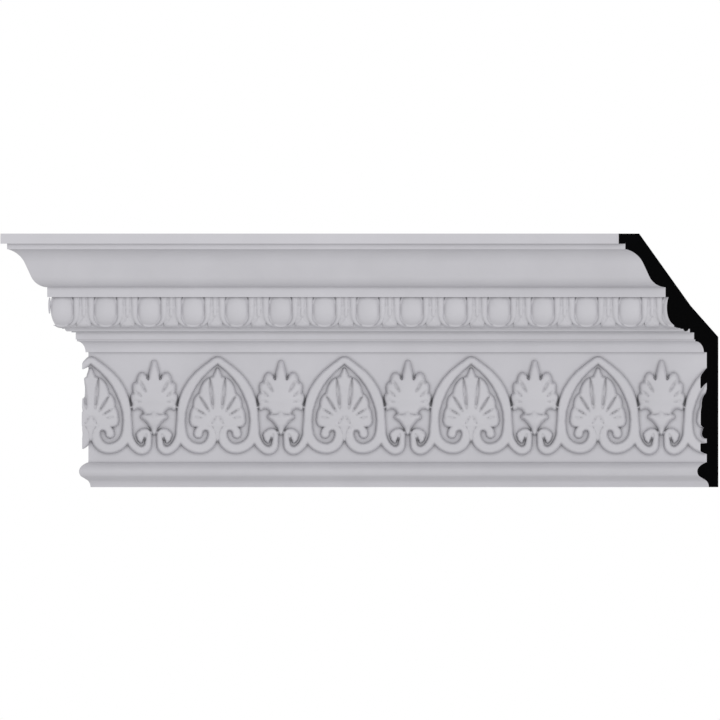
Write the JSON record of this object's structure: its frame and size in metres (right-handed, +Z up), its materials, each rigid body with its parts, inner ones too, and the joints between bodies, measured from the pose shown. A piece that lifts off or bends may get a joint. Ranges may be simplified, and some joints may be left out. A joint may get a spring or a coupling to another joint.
{
  "type": "cornice moulding length",
  "caption": "Classical cornice length with a cyma, an egg-and-dart ovolo and a frieze of arches, palmettes and scrolls, mitred at both ends, for the corner of wall and ceiling.",
  "frame": {"origin": "middle of the flat wall face, halfway between the two mitres and halfway up that face", "axes": "+X along the length to the right as seen from the room, +Y into the wall, +Z up to the ceiling"},
  "size_m": [0.5945, 0.0825, 0.21],
  "materials": {
    "primed_polyurethane": "smooth matt factory primer, pale grey; the right mitre's cut face is black"
  },
  "bodies": {
    "root": {"cornice_moulding": "primed_polyurethane"}
  },
  "joints": []
}
